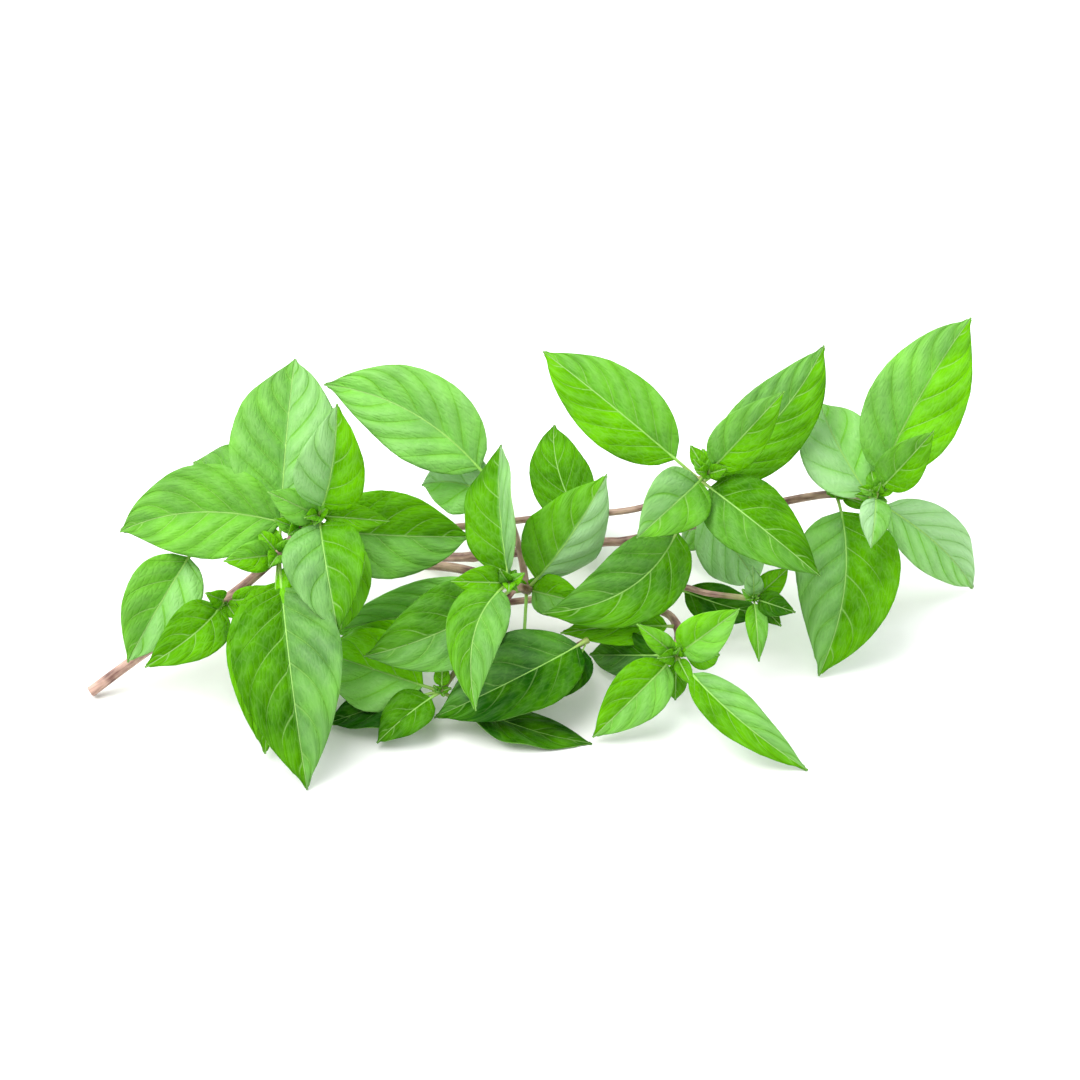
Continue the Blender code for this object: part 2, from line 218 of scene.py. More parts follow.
def addNode(tree, kind, inputs=None, **settings):
    # Adds one node. An input is a value, or another node's output to link.
    node = tree.nodes.new("ShaderNode" + kind)
    for name, value in settings.items():
        setattr(node, name, value)
    for name, value in (inputs or {}).items():
        socket = node.inputs[name]
        if isinstance(value, bpy.types.NodeSocket):
            tree.links.new(value, socket)
        else:
            socket.default_value = value
    return node


def newMaterial(name):
    material = bpy.data.materials.new(name)
    material.use_nodes = True
    material.node_tree.nodes.clear()
    return material, material.node_tree


leafLooks = {
    "deep": "#195500",          # full-grown blade, upper side, and the painted shade of blades that lie in shade
    "freshAndLit": "#75cc00",         # young blade, and the painted light of blades that should look lit
    "paintedSheen": "#abda9c",         # the grey-green of the surface where it catches the sky
    "vein": "#a2d276",
    "under": "#8dc060",         # painted sheen: the sky's grey-green reflection, painted into the colour
    "glow": "#84bd38",          # light that has come through the blade
    "midribHalf": 0.22,         # mm, half its width
    "cell": 1.6,                # mm between the smallest veins that show, coarser than real ones
    "streak": 5.0,              # mm, how long the blade's fine ridges are, which run with its side veins
    "streaksPerVein": 4.5,
    "netPerVein": 3.0,          # cells of the net between two side veins
    "netShown": 0.09,
    "sideShown": 0.5,
    "veinsOnDeepGreen": 0.4,            # how much of the veins shows on the deepest green, of full-grown blades and of blades with painted shade
    "patch": 13.0,              # mm, the blade's uneven green
    "grainDepth": 0.03,         # mm
    "grain": 0.28,              # mm, the leaf's skin
    "veinDepth": 0.16,          # mm, how far the veins are sunk
    "pucker": 0.13,             # mm, how far the skin between the small veins stands up
    "ridge": 0.20,              # mm, height of the fine ridges
    "dent": (5.5, 0.7),         # mm, how far apart the blade's shallow dents are, and how deep
    "swellSheen": 0.15,         # how much more painted sheen shows on a swell than in a groove
    "groove": (0.08, 0.24),     # share of the way to the next side vein, and how much painted sheen it takes off, as painted shade in the groove
    "through": 0.18,            # share of the light that a blade lets through
    "underShare": 0.55,         # how far the lower side goes to its own colour
    "glowShare": 0.5,
    "wax": (0.05, 0.50),        # how strongly the skin mirrors, without painted sheen and with it
    "roughness": 0.38,
    "underRoughness": 0.58,
}


def leafMaterial(name, under):
    # Basil leaf, waxy and thin: satin above, matt and paler below, and light glows through it.
    look = leafLooks
    material, tree = newMaterial(name)

    def maths(operation, first, second=0.0, third=0.0, clamp=False):
        return addNode(tree, "Math", {0: first, 1: second, 2: third}, operation=operation,
                       use_clamp=clamp).outputs[0]

    def mapped(value, low, high, toLow, toHigh, kind="LINEAR"):
        return addNode(tree, "MapRange", {"Value": value, "From Min": low, "From Max": high,
                                          "To Min": toLow, "To Max": toHigh},
                       interpolation_type=kind).outputs[0]

    def mixed(share, first, second):
        return addNode(tree, "Mix", {0: share, 6: first, 7: second}, data_type="RGBA").outputs[2]

    def vector(x, y, z):
        return addNode(tree, "CombineXYZ", {"X": x, "Y": y, "Z": z}).outputs[0]

    place = addNode(tree, "Attribute", attribute_name="leafPlace")
    placeParts = addNode(tree, "SeparateXYZ", {"Vector": place.outputs["Vector"]})
    fromMidrib, veinCount, across = placeParts.outputs
    # The leaf's tone, which partly paints shade and light, its painted sheen, and a random share.
    tone = addNode(tree, "Attribute", attribute_name="leafTone")
    freshAndLit, paintedSheen, share = addNode(tree, "SeparateXYZ", {"Vector": tone.outputs["Vector"]}).outputs
    coords = addNode(tree, "TexCoord").outputs["Object"]
    apart = maths("MULTIPLY", share, 40.0)

    rib = look["midribHalf"]
    midribLine = mapped(fromMidrib, rib * 0.5, rib * 1.4, 1.0, 0.0, "SMOOTHSTEP")
    nearest = maths("PINGPONG", veinCount, 0.5)
    sideLine = mapped(maths("MULTIPLY_ADD", across, 0.022, nearest), 0.010, 0.055, 1.0, 0.0, "SMOOTHSTEP")
    # Painted sheen: the sky's reflection painted into the colour, one share for each half; the side veins
    # show less under it.
    sheenMask = mapped(paintedSheen, 0.12, 0.4, 0.0, 1.0)
    veinsUnderSheen = mapped(sheenMask, 0.0, 1.0, 1.0, 0.25)
    reaching = mapped(across, 0.4, 0.95, look["sideShown"], 0.0)
    sideShown = maths("MULTIPLY", maths("MULTIPLY", sideLine, reaching), veinsUnderSheen)
    # The net and the ridges between the side veins are drawn in the leaf's own directions.
    netPlace = vector(maths("MULTIPLY", veinCount, look["netPerVein"]),
                      maths("MULTIPLY", fromMidrib, 1 / look["cell"]), apart)
    net = addNode(tree, "TexVoronoi", {"Vector": netPlace, "Scale": 1.0, "Randomness": 0.85},
                  feature="DISTANCE_TO_EDGE", voronoi_dimensions="3D").outputs["Distance"]
    netLine = mapped(net, 0.01, 0.11, look["netShown"], 0.0)
    # Veins hardly show on deep green: on old blades, and where the tone paints a blade into shade.
    veins = maths("MULTIPLY", maths("MAXIMUM", maths("MAXIMUM", midribLine, sideShown), netLine),
                  mapped(freshAndLit, 0.0, 0.4, look["veinsOnDeepGreen"], 1.0))
    ridgePlace = vector(maths("MULTIPLY", veinCount, look["streaksPerVein"]),
                        maths("MULTIPLY", fromMidrib, 1 / look["streak"]), apart)
    ridges = addNode(tree, "TexNoise", {"Vector": ridgePlace, "Scale": 1.0, "Detail": 3.0,
                                        "Roughness": 0.55}).outputs["Fac"]

    patches = addNode(tree, "TexNoise", {"Vector": coords, "Scale": 1 / (look["patch"] * mm), "Detail": 3.0,
                                         "Roughness": 0.55}).outputs["Fac"]
    # The painted sheen is stronger on the swells between side veins, which face the sky, and weaker towards
    # the veins.
    swell = maths("MULTIPLY", mapped(nearest, 0.0, 0.5, -0.6, 0.4, "SMOOTHSTEP"),
                  mapped(across, 0.0, 0.15, 0.0, 1.0))
    dappled = maths("ADD", mapped(patches, 0.3, 0.7, -0.2, 0.2), mapped(ridges, 0.3, 0.7, -0.07, 0.07))
    freshAndLitShare = maths("ADD", freshAndLit, dappled, clamp=True)
    sheenOnSwells = maths("MULTIPLY_ADD", swell, look["swellSheen"], mapped(ridges, 0.3, 0.7, -0.05, 0.05))
    # Along the side veins' narrow grooves the painted sheen is taken off, which paints shade into the
    # grooves.
    grooveWidth, grooveDepth = look["groove"]
    groove = maths(
        "MULTIPLY", mapped(nearest, 0.0, grooveWidth, grooveDepth, 0.0, "SMOOTHSTEP"),
        maths("MULTIPLY", mapped(across, 0.02, 0.1, 0.0, 1.0), mapped(across, 0.6, 0.95, 1.0, 0.0)))
    grooveShade = maths("MULTIPLY", groove, sheenMask)
    sheenShown = maths("MULTIPLY_ADD", sheenOnSwells, mapped(paintedSheen, 0.0, 0.5, 0.35, 1.0), paintedSheen)
    paintedSheenShare = maths("SUBTRACT", sheenShown, grooveShade, clamp=True)
    # Tone runs from deep to fresh green; part of it is painted shade and painted light for how each blade
    # lies.
    green = mixed(freshAndLitShare, colour(look["deep"]), colour(look["freshAndLit"]))
    shown = mixed(veins, mixed(paintedSheenShare, green, colour(look["paintedSheen"])), colour(look["vein"]))
    if under:
        shown = mixed(look["underShare"], shown, colour(look["under"]))

    grain = addNode(tree, "TexNoise", {"Vector": coords, "Scale": 1 / (look["grain"] * mm),
                                       "Detail": 2.0}).outputs["Fac"]
    sunk = maths("MULTIPLY", maths("MAXIMUM", midribLine, sideLine), -look["veinDepth"])
    puckered = maths("MULTIPLY_ADD", mapped(net, 0.0, 0.3, 0.0, 1.0, "SMOOTHSTEP"), look["pucker"], sunk)
    dents = addNode(tree, "TexNoise", {"Vector": coords, "Scale": 1 / (look["dent"][0] * mm),
                                       "Detail": 1.0}).outputs["Fac"]
    ridged = maths("MULTIPLY_ADD", ridges, look["ridge"], puckered)
    dented = maths("MULTIPLY_ADD", dents, look["dent"][1], ridged)
    height = maths("MULTIPLY_ADD", grain, look["grainDepth"], dented)
    bump = addNode(tree, "Bump", {"Height": height, "Strength": 0.8, "Distance": mm},
                   invert=under).outputs[0]
    rough = look["underRoughness"] if under else look["roughness"]
    gloss = mapped(patches, 0.3, 0.7, rough - 0.05, rough + 0.07)
    wax = mapped(paintedSheenShare, 0.0, 1.0, *look["wax"])
    skin = addNode(tree, "BsdfPrincipled", {"Base Color": shown, "Roughness": gloss, "IOR": 1.45,
                                            "Specular IOR Level": wax, "Normal": bump})
    lit = mixed(look["glowShare"], shown, colour(look["glow"]))
    glow = addNode(tree, "BsdfTranslucent", {"Color": lit, "Normal": bump})
    both = addNode(tree, "MixShader", {0: look["through"], 1: skin.outputs[0], 2: glow.outputs[0]})
    addNode(tree, "OutputMaterial", {"Surface": both.outputs[0]})
    return material


stemLooks = {
    "bark": "#66423a",          # woody lower stem, brown with a pink cast
    "lit": "#caa696",
    "green": "#8aa84a",         # soft tip
    "streak": 0.9,              # mm between the fibres' lines round the stem
    "fibre": 9.0,               # mm, how long a line runs
    "blotch": 6.0,              # mm
    "spread": (0.15, 0.36),     # where the fibres' shade goes from bark to lit
    "greenFrom": 0.86,          # share of the stem's length
    "greenMost": 0.8,
    "roughness": 0.46,
}


def stemMaterial():
    # Basil stem: half-woody, ribbed lengthwise, brown-pink below and green towards its tip.
    look = stemLooks
    material, tree = newMaterial("basil stem, half-woody")
    place = addNode(tree, "Attribute", attribute_name="stemPlace")
    where = addNode(tree, "SeparateXYZ", {"Vector": place.outputs["Vector"]})
    alongMm, roundMm, age = where.outputs
    fibrePlace = addNode(tree, "CombineXYZ", {
        "X": addNode(tree, "Math", {0: alongMm, 1: 1 / look["fibre"]}, operation="MULTIPLY").outputs[0],
        "Y": addNode(tree, "Math", {0: roundMm, 1: 1 / look["streak"]}, operation="MULTIPLY").outputs[0]})
    fibres = addNode(tree, "TexNoise", {"Vector": fibrePlace.outputs[0], "Scale": 1.0, "Detail": 4.0,
                                        "Roughness": 0.6})
    coords = addNode(tree, "TexCoord")
    blotch = addNode(tree, "TexNoise", {"Vector": coords.outputs["Object"], "Detail": 2.0,
                                        "Scale": 1 / (look["blotch"] * mm)})
    shade = addNode(tree, "Math", {0: fibres.outputs["Fac"], 1: blotch.outputs["Fac"]},
                    operation="MULTIPLY")
    darkest, palest = look["spread"]
    spread = addNode(tree, "MapRange", {"Value": shade.outputs[0], "From Min": darkest, "From Max": palest})
    bark = addNode(tree, "Mix", {0: spread.outputs[0], 6: colour(look["bark"]), 7: colour(look["lit"])},
                   data_type="RGBA")
    young = addNode(tree, "MapRange", {"Value": age, "From Min": look["greenFrom"], "From Max": 1.0,
                                       "To Min": 0.0, "To Max": look["greenMost"]})
    shown = addNode(tree, "Mix", {0: young.outputs[0], 6: bark.outputs[2], 7: colour(look["green"])},
                    data_type="RGBA")
    bump = addNode(tree, "Bump", {"Height": fibres.outputs["Fac"], "Strength": 0.4, "Distance": 0.15 * mm})
    skin = addNode(tree, "BsdfPrincipled", {"Base Color": shown.outputs[2], "Roughness": look["roughness"],
                                            "IOR": 1.45, "Normal": bump.outputs[0]})
    addNode(tree, "OutputMaterial", {"Surface": skin.outputs[0]})
    return material


stalkLooks = {
    "deep": "#7cba38",
    "pale": "#a6d870",
    "foot": "#a5825f",          # where it leaves the stem
    "footReach": 0.16,          # share of the stalk and midrib
    "footMost": 0.45,
    "patch": 2.0,               # mm
    "roughness": 0.42,
}


def stalkMaterial():
    # Leaf stalk: soft, juicy green, a little brown where it leaves the stem.
    look = stalkLooks
    material, tree = newMaterial("basil stalk, soft green")
    place = addNode(tree, "Attribute", attribute_name="stemPlace")
    where = addNode(tree, "SeparateXYZ", {"Vector": place.outputs["Vector"]})
    coords = addNode(tree, "TexCoord")
    patches = addNode(tree, "TexNoise", {"Vector": coords.outputs["Object"], "Detail": 2.0,
                                         "Scale": 1 / (look["patch"] * mm)})
    green = addNode(tree, "Mix", {0: patches.outputs["Fac"], 6: colour(look["deep"]),
                                 7: colour(look["pale"])}, data_type="RGBA")
    foot = addNode(tree, "MapRange", {"Value": where.outputs[2], "From Min": 0.0,
                                      "From Max": look["footReach"], "To Min": look["footMost"],
                                      "To Max": 0.0})
    shown = addNode(tree, "Mix", {0: foot.outputs[0], 6: green.outputs[2], 7: colour(look["foot"])},
                    data_type="RGBA")
    skin = addNode(tree, "BsdfPrincipled", {"Base Color": shown.outputs[2], "IOR": 1.45,
                                            "Roughness": look["roughness"]})
    addNode(tree, "OutputMaterial", {"Surface": skin.outputs[0]})
    return material


pithLooks = {
    "pale": "#efdcc0",
    "deep": "#d2b78e",
    "cell": 0.25,               # mm
    "roughness": 0.7,
}


def pithMaterial():
    # The cut end of the stem: pale, spongy pith.
    look = pithLooks
    material, tree = newMaterial("basil stem, cut pith")
    coords = addNode(tree, "TexCoord")
    cells = addNode(tree, "TexVoronoi", {"Vector": coords.outputs["Object"],
                                         "Scale": 1 / (look["cell"] * mm)})
    shown = addNode(tree, "Mix", {0: cells.outputs["Distance"], 6: colour(look["pale"]),
                                 7: colour(look["deep"])}, data_type="RGBA")
    skin = addNode(tree, "BsdfPrincipled", {"Base Color": shown.outputs[2], "Roughness": look["roughness"]})
    addNode(tree, "OutputMaterial", {"Surface": skin.outputs[0]})
    return material


materials = {
    "upper": leafMaterial("basil leaf, upper side", False),
    "under": leafMaterial("basil leaf, lower side", True),
    "stem": stemMaterial(),
    "stalk": stalkMaterial(),
    "pith": pithMaterial(),
}
print("materials made")


# ---- the shape of a leaf, in millimetres

leafShape = {
    "belowWidest": 0.66,        # how full the blade is towards its base, and towards its point
    "aboveWidest": 1.06,
    "drawnOut": (0.28, 0.08),   # how much narrower the last part of the point is, and how long that is
    "narrowest": 0.30,
    "waveShare": 0.035,         # the edge's waves, as in the part
    "waveCount": 2.3,
    "crown": 0.09,              # how much each half bulges, as a share of its width
    "quilt": 0.036,             # how far the blade rises between two side veins, as a share of its width
    "quiltSunk": 0.6,           # how much of that lies below the blade's middle surface
    "quiltFrom": 0.14,          # share of the half's width at which it is full
    "rowSpread": 1.55,          # more rows of the grid lie near the stalk
    "veinArch": (0.72, 0.28, 2.5),
    "veinShift": (0.5, 0.5 + 1 / 6),    # the right half's side veins, and the left half's
    "waveTurn": (1.3, 0.07),    # how the waves differ between halves, and between headings
    "midribGroove": (0.22, 0.5),        # mm, how deep it is and how wide
    "finer": (1.15, 0.6),       # how wide the veins are at the base, and how much of that they lose
    "veinReach": 1.0,           # how far forward the side veins run
    "teeth": 11,
    "toothShare": 0.010,
    "thick": 0.36,              # mm
    "midribTop": 0.50,          # mm, radius of the stalk where the blade starts
}


def halfWidth(share):
    below, above = leafShape["belowWidest"], leafShape["aboveWidest"]
    widest = below / (below + above)
    most = widest ** below * (1 - widest) ** above
    less, reach = leafShape["drawnOut"]
    point = 1 - less * np.exp(-((1 - share) / reach) ** 2)
    return 0.5 * share ** below * np.maximum(1 - share, 0) ** above / most * point


def leafFrame(leaf):
    # The leaf's direction, and its upper side, turned to the light as far as that lets it.
    h, r, turn = (math.radians(leaf[key]) for key in ("heading", "rise", "roll"))
    along = np.array([math.cos(r) * math.cos(h), math.cos(r) * math.sin(h), math.sin(r)])
    light = np.array(bunch["light"])
    upper = unit(light - along * np.dot(along, light))
    side = np.cross(along, upper)
    return along, math.cos(turn) * upper + math.sin(turn) * side


def midrib(leaf, share):
    # Points and directions of the arched line that stalk and blade follow, at shares of its length.
    along, upper = leafFrame(leaf)
    share = np.asarray(share, float)[..., None]
    bend = 4 * (upper * leaf["bow"] + np.cross(along, upper) * leaf["sweep"])
    place = leaf["root"] + leaf["whole"] * (along * share + bend * share * (1 - share))
    return place, unit(along + bend * (1 - 2 * share)), upper


def sideVeins(leaf):
    return int(np.clip(round(leaf["whole"] / 9.5), 3, 6))


def shapeBlade(flat, leaf):
    # Takes the flat grid's (across, along) points, each from -1 to 1, to the blade's surface.
    shape = leafShape
    column, step = flat[:, 0], (flat[:, 1] + 1) / 2
    across = np.abs(column)
    veins = sideVeins(leaf)
    q = step ** shape["rowSpread"]
    straight, arched, power = shape["veinArch"]
    # Rows of the grid run out along the side veins, which arch towards the point.
    row = q + shape["veinReach"] * np.sqrt(q) * (1 - q) * (straight * across + arched * across ** power)
    count = veins * step + np.where(column > 0, *shape["veinShift"])
    whole, stalk, width = leaf["whole"], leaf["stalk"], leaf["width"]
    centre, way, upper = midrib(leaf, (stalk + row * (whole - stalk)) / whole)
    side = unit(np.cross(way, upper))
    face = np.cross(side, way)
    half = np.maximum(halfWidth(row) * width, shape["narrowest"])
    tooth = (row * shape["teeth"]) % 1.0
    toothed = half * (1 + shape["toothShare"] * (tooth - 0.5) * across ** 6 * np.sin(math.pi * row))
    lift = math.radians(leaf["fold"])
    byHalf, byHeading = shape["waveTurn"]
    phase = 2 * math.pi * shape["waveCount"] * row + byHalf * column + byHeading * leaf["heading"]
    wave = shape["waveShare"] * width * across ** 3 * np.sin(phase) * np.sin(math.pi * row)
    crown = shape["crown"] * half * 4 * across * (1 - across)
    swell = np.abs(np.sin(math.pi * count)) - shape["quiltSunk"]
    quilt = (shape["quilt"] * width * swell * np.minimum(across / shape["quiltFrom"], 1)
             * (1 - across ** 5)
             * np.sin(math.pi * np.clip(row, 0, 1)) ** 0.5)
    grooveDepth, grooveWidth = shape["midribGroove"]
    groove = -grooveDepth * np.exp(-(across * half / grooveWidth) ** 2) * (1 - row)
    rise = across * half * math.sin(lift) + wave + crown + quilt + groove
    place = centre + side * (column * toothed * math.cos(lift))[:, None] + face * rise[:, None]
    place[:, 2] = np.maximum(place[:, 2], bunch["tableTop"] + shape["thick"])
    # The midrib and the small veins get finer towards the point.
    widest, lost = shape["finer"]
    return place, across * half / (widest - lost * row), count, across


def smoothRoute(points, step):
    # A Catmull-Rom curve through the route's points, read every step, with its radius.
    points = np.array(points, float)
    ends = np.vstack([2 * points[0] - points[1], points, 2 * points[-1] - points[-2]])
    read = []
    for i in range(1, len(ends) - 2):
        before, start, end, after = ends[i - 1:i + 3]
        count = max(1, round(np.linalg.norm(end[:3] - start[:3]) / step))
        for t in np.arange(count) / count:
            read.append(0.5 * (2 * start + (end - before) * t
                               + (2 * before - 5 * start + 4 * end - after) * t ** 2
                               + (3 * start - before - 3 * end + after) * t ** 3))
    read.append(points[-1])
    return np.array(read)


def addAttribute(mesh, name, values):
    attribute = mesh.attributes.new(name, "FLOAT_VECTOR", "POINT")
    attribute.data.foreach_set("vector", np.asarray(values, np.float32).ravel())


def addBlank(name, rows, columns):
    # A flat grid that each leaf's blade is shaped from.
    deselectAll()
    bpy.ops.mesh.primitive_grid_add(x_subdivisions=columns, y_subdivisions=rows, size=2)
    blank = bpy.context.active_object
    blank.name = name
    return blank


blanks = {
    "large": addBlank("large_blank", 52, 28),
    "small": addBlank("small_blank", 22, 12),
}
smallBlade = 23.0               # mm, below which a leaf is drawn as a small one


def addBlade(name, leaf):
    size = "small" if leaf["whole"] - leaf["stalk"] < smallBlade else "large"
    blade = blanks[size].copy()
    blade.data = blanks[size].data.copy()
    blade.name = name
    bpy.context.scene.collection.objects.link(blade)
    flat = np.empty(len(blade.data.vertices) * 3)
    blade.data.vertices.foreach_get("co", flat)
    flat = flat.reshape(-1, 3)[:, :2]
    place, fromMidrib, count, across = shapeBlade(flat, leaf)
    local = (place - np.array(bunch["centre"])) * mm
    blade.data.vertices.foreach_set("co", local.ravel())
    addAttribute(blade.data, "leafPlace", np.stack([fromMidrib, count, across], 1))
    # Painted sheen, one share for each half of the blade, and their mean along the midrib.
    paintedSheen = np.where(flat[:, 0] > 0, leaf["bloomRight"], leaf["bloomLeft"])
    paintedSheen = np.where(np.abs(flat[:, 0]) < 0.01, 0.5 * (leaf["bloomRight"] + leaf["bloomLeft"]), paintedSheen)
    addAttribute(blade.data, "leafTone", np.stack([
        np.full(len(flat), leaf["tone"]), paintedSheen, np.full(len(flat), leaf["share"])], 1))
    blade.data.materials.clear()
    blade.data.materials.append(materials["upper"])
    blade.data.materials.append(materials["under"])
    activate(blade)
    thicken = blade.modifiers.new("thickness", "SOLIDIFY")
    thicken.thickness = leafShape["thick"] * mm
    thicken.offset = -1
    thicken.material_offset = 1
    thicken.material_offset_rim = 1
    bpy.ops.object.modifier_apply(modifier=thicken.name)
    bpy.ops.object.shade_smooth()
    return blade


def addProfile(name, sides, square, grooves):
    # The outline that a stem or stalk is drawn along its route with: round, squarish or grooved.
    curve = bpy.data.curves.new(name, "CURVE")
    curve.dimensions = "2D"
    spline = curve.splines.new("POLY")
    spline.points.add(sides - 1)
    for i, point in enumerate(spline.points):
        a = 2 * math.pi * i / sides
        r = 1 + square * math.cos(4 * a) + grooves * math.cos(8 * a)
        point.co = (r * math.cos(a) * mm, r * math.sin(a) * mm, 0, 1)
    spline.use_cyclic_u = True
    profile = bpy.data.objects.new(name, curve)
    bpy.context.scene.collection.objects.link(profile)
    return profile


profiles = {
    "stem": addProfile("stem_outline", 20, 0.05, 0.02),
    "stalk": addProfile("stalk_outline", 10, 0.0, 0.0),
}


def addTube(name, route, profile, material, ageFrom, ageTo, cut=False):
    # Draws a profile along a route of (x, y, z, radius) rows, and notes where each point is on it.
    curve = bpy.data.curves.new(name, "CURVE")
    curve.dimensions = "3D"
    curve.twist_mode = "MINIMUM"
    spline = curve.splines.new("POLY")
    spline.points.add(len(route) - 1)
    local = (route[:, :3] - np.array(bunch["centre"])) * mm
    spline.points.foreach_set("co", np.c_[local, np.ones(len(local))].ravel())
    spline.points.foreach_set("radius", route[:, 3].copy())
    curve.bevel_mode = "OBJECT"
    curve.bevel_object = profiles[profile]
    curve.use_fill_caps = True
    tube = bpy.data.objects.new(name, curve)
    bpy.context.scene.collection.objects.link(tube)
    activate(tube)
    bpy.ops.object.convert(target="MESH")
    tube = bpy.context.active_object
    tube.data.materials.clear()
    tube.data.materials.append(materials[material])
    tube.data.materials.append(materials["pith"])
    bpy.ops.object.shade_smooth_by_angle(angle=math.radians(50))
    points = np.empty(len(tube.data.vertices) * 3)
    tube.data.vertices.foreach_get("co", points)
    points = points.reshape(-1, 3)
    apart = np.linalg.norm(points[:, None] - local[None], axis=2)
    near = apart.argmin(axis=1)
    lengths = np.r_[0, np.cumsum(np.linalg.norm(np.diff(route[:, :3], axis=0), axis=1))]
    away = unit(points - local[near])
    ring = np.degrees(np.arctan2(away[:, 2], away[:, 1])) / 360
    age = ageFrom + (ageTo - ageFrom) * lengths[near] / lengths[-1]
    roundMm = ring * 2 * math.pi * route[near, 3]
    addAttribute(tube.data, "stemPlace", np.stack([lengths[near], roundMm, age], 1))
    for face in tube.data.polygons:
        if cut and face.loop_total > 4 and near[face.vertices[0]] == 0:
            face.material_index = 1
    return tube


stalkShape = {
    "reach": 0.93,              # share of the leaf's length at which the midrib ends
    "facet": 2.4,               # mm along it
    "small": 0.62,              # radius on a small leaf, against that on a large one
    "grown": (45, 0.35),        # radius by the leaf's length: it is length / first + second, at most 1
    "taper": (0.80, 0.7),       # share of the radius lost under the blade, and how early
    "foot": (0.5, 1.6),         # how much thicker the foot is, and over how many mm
    "sunk": (0.06, 0.72, 0.10),     # where under the blade it is full, share of the radius, and mm more
}


def addStalk(name, leaf):
    # The stalk, which runs on under the blade as its midrib and thins out to nothing near the point.
    shape = stalkShape
    share = np.linspace(0, shape["reach"], max(8, int(leaf["whole"] / shape["facet"])))
    place, way, upper = midrib(leaf, share)
    start = leaf["stalk"] / leaf["whole"]
    beyond = np.clip((share - start) / (1 - start), 0, 1)
    full, least = shape["grown"]
    slim = shape["small"] if leaf["whole"] < smallBlade else 1.0
    size = leafShape["midribTop"] * slim * min(1.0, leaf["whole"] / full + least)
    (lost, early), (thicker, footLength) = shape["taper"], shape["foot"]
    foot = 1 + thicker * np.exp(-share * leaf["whole"] / footLength)
    radius = size * (1 - lost * beyond ** early) * foot
    side = unit(np.cross(way, upper))
    face = np.cross(side, way)
    sunkFrom, sunkShare, sunkMore = shape["sunk"]
    sunk = np.clip(beyond / sunkFrom, 0, 1) * (radius * sunkShare + sunkMore)
    place = place - face * sunk[:, None]
    place[:, 2] = np.maximum(place[:, 2], bunch["tableTop"] + radius)
    return addTube(name, np.c_[place, radius], "stalk", "stalk", 0.0, 1.0)


def pointOf(sprig, place):
    if isinstance(place, str):
        return np.array(sprig["shoots"][place][-1][:3], float)
    return np.array(sprig["stem"][place][:3], float)


stemShape = {
    "facet": 1.6,               # mm along a stem
    "knot": (0.18, 1.8),        # how much thicker it is where a leaf grows, and over how many mm
    "shootAge": 0.55,           # where a shoot's colour starts, on the way from bark to green
}


def swollen(route, knots):
    # Stems are a little thicker where leaves leave them.
    thicker, reach = stemShape["knot"]
    for knot in np.unique(knots, axis=0):
        apart = np.linalg.norm(route[:, :3] - knot, axis=1)
        route[:, 3] *= 1 + thicker * np.exp(-(apart / reach) ** 2)
    return route


def joinAll(name, parts):
    deselectAll()
    for part in parts:
        part.select_set(True)
    bpy.context.view_layer.objects.active = parts[0]
    bpy.ops.object.join()
    joined = bpy.context.active_object
    joined.name = name
    joined.data.name = name
    return joined


tufts = {
    "count": 7,
    "rise": (-5, 65),           # degrees
    "shortest": 0.6,            # share of the tuft's length
    "slender": 0.60,            # width for its length
    "tone": (0.6, 0.95),
}


def tuftLeaves(root, length):
    # Unopened leaves round a node, spread evenly and a little at random.
    start = chance.uniform(0, 360)
    for i in range(tufts["count"]):
        whole = length * chance.uniform(tufts["shortest"], 1.0)
        yield {"root": root, "heading": start + i * 360 / tufts["count"] + chance.uniform(-20, 20),
               "rise": chance.uniform(*tufts["rise"]), "stalk": 0.1 * whole, "whole": whole,
               "width": tufts["slender"] * whole, "roll": chance.uniform(-15, 15), "fold": 15, "bow": 0.12,
               "sweep": 0.0, "share": chance.random(), "tone": chance.uniform(*tufts["tone"]),
               # Painted sheen, a little on the left half only.
               "bloomRight": 0.0, "bloomLeft": chance.uniform(0, 0.15)}


def addSprig(name, sprig):
    blades, stalks = [], []
    knots = []
    for number, (place, heading, rise, stalk, whole, width, roll, fold, bow, sweep, *looks) in enumerate(
            sprig["leaves"]):
        root = pointOf(sprig, place)
        knots.append(root)
        leaf = {"root": root, "heading": heading, "rise": rise, "stalk": stalk, "whole": whole,
                "width": width, "roll": roll, "fold": fold, "bow": bow, "sweep": sweep,
                "share": chance.random()}
        # Tone, with its painted shade and light, and the painted sheen of each half.
        leaf["tone"], leaf["bloomRight"], leaf["bloomLeft"] = looks
        label = f"{name}_leaf_{number}"
        blades.append(addBlade(label, leaf))
        stalks.append(addStalk(label + "_stalk", leaf))
    for place, length in sprig["tufts"].items():
        for number, leaf in enumerate(tuftLeaves(pointOf(sprig, place), length)):
            blades.append(addBlade(f"{name}_tuft_{place}_{number}", leaf))
    stem = smoothRoute(sprig["stem"], stemShape["facet"])
    stems = [addTube(name + "_stem", swollen(stem, knots), "stem", "stem", 0.0, 1.0, cut=True)]
    for shoot, points in sprig["shoots"].items():
        route = swollen(smoothRoute(points, stemShape["facet"]), knots)
        stems.append(addTube(f"{name}_{shoot}", route, "stem", "stem", stemShape["shootAge"], 1.0))
    leaves = joinAll(name + "_leaves", blades)
    wood = joinAll(name + "_stems", stems + stalks)
    for piece, slot in ((leaves, "basil_leaf"), (wood, "basil_stem")):
        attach(piece, "root")
        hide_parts(name)
    print(name, len(leaves.data.polygons), len(wood.data.polygons))


for name, sprig in sprigs.items():
    addSprig(name, sprig)

for helper in list(blanks.values()) + list(profiles.values()):
    bpy.data.objects.remove(helper)
print("leafy stems made")


# ---- the white table and the soft light

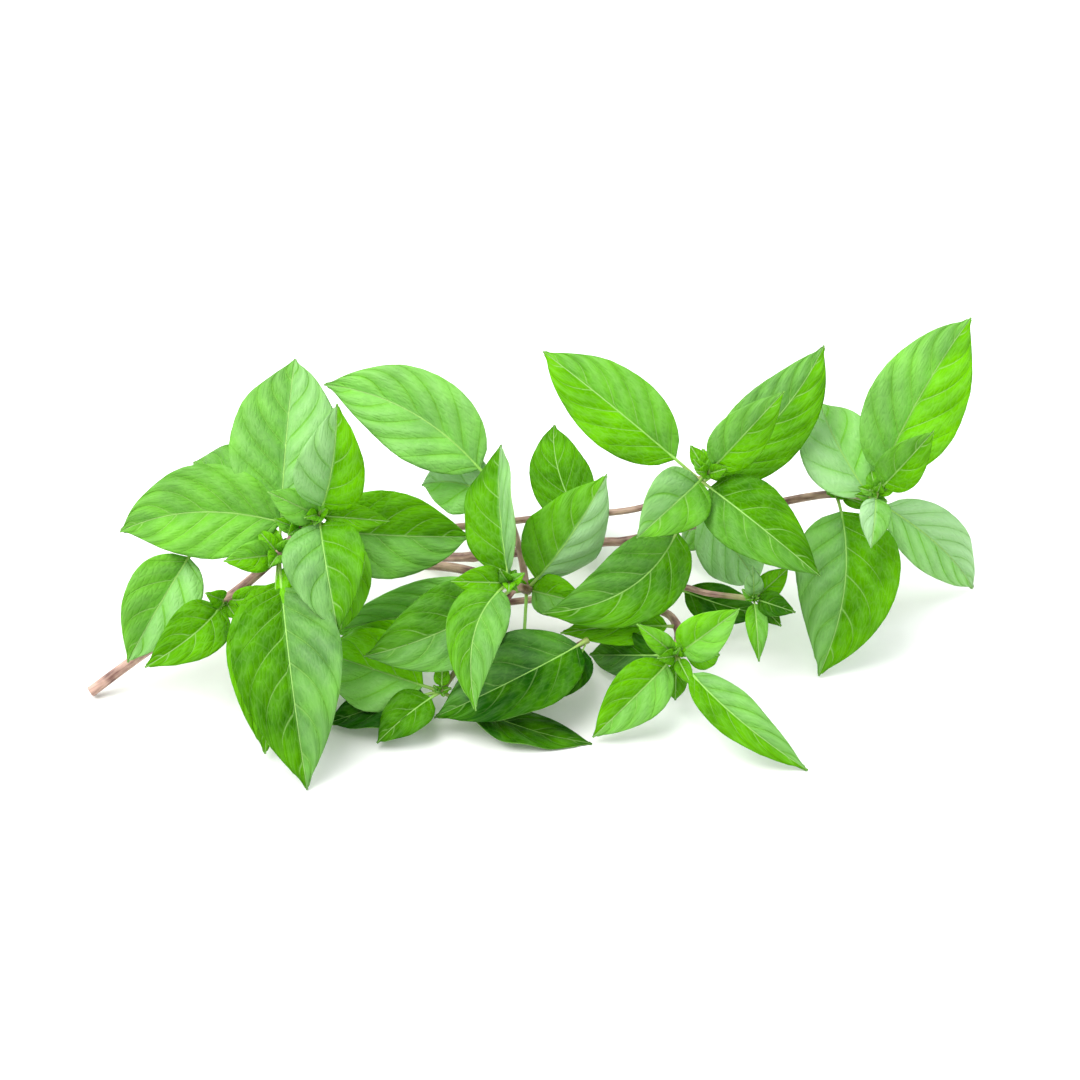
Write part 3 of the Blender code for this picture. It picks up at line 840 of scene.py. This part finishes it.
studio = {
    "floorSize": 8.0,           # metres
    "floor": ("#f4f4f2", "#fbfbfa"),
    "world": 0.84,
    # Soft boxes; places and sizes are in metres.
    "top": {"place": (-0.58, -0.06, 1.08), "size": (1.25, 1.25), "watts": 21.5, "tint": "#ffffff"},
    "right": {"place": (0.9, 0.1, 0.6), "size": (0.6, 0.6), "watts": 4.0, "tint": "#eef4ff"},
    "focus": (-0.0007, 0.0029, 0.036),
    "away": 0.800,              # metres from the camera to the middle of the bunch
    "elevation": 35.0,
    "lens": 88.9,
}


def addFloor():
    deselectAll()
    bpy.ops.mesh.primitive_plane_add(size=studio["floorSize"], location=(0, 0, -0.0002))
    floor = bpy.context.active_object
    floor.name = "white_table"
    material, tree = newMaterial("white lacquered table")
    speckle = addNode(tree, "TexNoise", {"Scale": 900.0})
    dull, bright = (colour(code) for code in studio["floor"])
    tint = addNode(tree, "Mix", {0: speckle.outputs["Fac"], 6: dull, 7: bright}, data_type="RGBA")
    skin = addNode(tree, "BsdfPrincipled", {"Base Color": tint.outputs[2], "Roughness": 0.6})
    addNode(tree, "OutputMaterial", {"Surface": skin.outputs[0]})
    floor.data.materials.append(material)


def addSoftBox(name, place, size, watts, tint):
    light = bpy.data.lights.new(name, "AREA")
    light.shape = "RECTANGLE"
    light.size, light.size_y = size
    light.energy = watts
    light.color = colour(tint)[:3]
    lamp = bpy.data.objects.new(name, light)
    bpy.context.scene.collection.objects.link(lamp)
    lamp.location = place
    lamp.rotation_euler = (-Vector(place)).to_track_quat("-Z", "Y").to_euler()


def addWorld():
    world = bpy.data.worlds.new("white studio")
    bpy.context.scene.world = world
    world.use_nodes = True
    background = world.node_tree.nodes["Background"]
    background.inputs["Color"].default_value = colour("#ffffff")
    background.inputs["Strength"].default_value = studio["world"]


def addCamera():
    camera = bpy.data.cameras.new("camera")
    camera.lens = studio["lens"]
    camera.sensor_width = 36.0
    lifted = math.radians(studio["elevation"])
    held = bpy.data.objects.new("camera", camera)
    bpy.context.scene.collection.objects.link(held)
    focus = studio["focus"]
    held.location = (focus[0], focus[1] - studio["away"] * math.cos(lifted),
                     focus[2] + studio["away"] * math.sin(lifted))
    held.rotation_euler = (math.pi / 2 - lifted, 0, 0)
    camera.clip_start = 0.01
    bpy.context.scene.camera = held


addFloor()
addSoftBox("top_soft_box", **studio["top"])
addSoftBox("right_soft_box", **studio["right"])
addWorld()
addCamera()
bpy.context.scene.view_settings.view_transform = "Standard"
bpy.context.scene.render.film_transparent = False
print("studio made")

bpy.context.view_layer.update()
